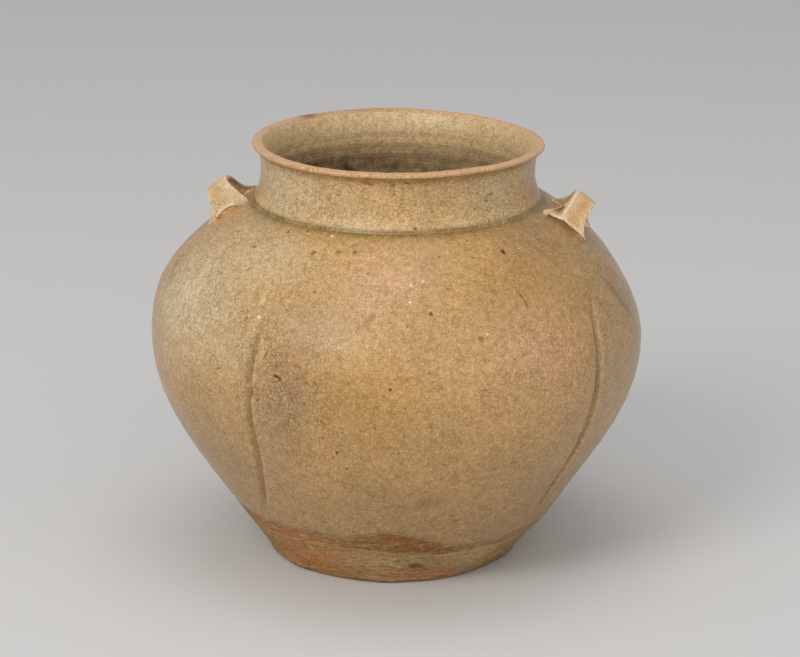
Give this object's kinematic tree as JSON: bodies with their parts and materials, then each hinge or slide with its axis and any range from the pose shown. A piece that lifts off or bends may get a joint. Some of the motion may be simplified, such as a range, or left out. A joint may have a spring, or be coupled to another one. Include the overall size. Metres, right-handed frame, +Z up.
{
  "type": "loop-handled jar",
  "caption": "Wide-shouldered glazed stoneware storage jar with a lobed wall, flat foot, short neck, everted lip and strap loops on the shoulder.",
  "frame": {"origin": "on the axis of the neck and belly, on the plane that the jar stands on; the foot is 2 mm off that axis", "axes": "+Z up through the mouth, +X through the loop named loop_right, +Y to the back"},
  "size_m": [0.2059, 0.2059, 0.1772],
  "materials": {
    "body_glaze": "crackled tan ash glaze, satin, over bare orange-brown stoneware at the foot",
    "neck_glaze": "crackled tan ash glaze, satin, with a dry pinkish lip",
    "loop_glaze": "thin cream ash glaze, satin, with ochre patches"
  },
  "bodies": {
    "root": {"jar_body": "body_glaze", "neck_and_lip": "neck_glaze", "loop_right": "loop_glaze", "loop_left": "loop_glaze"}
  },
  "joints": []
}
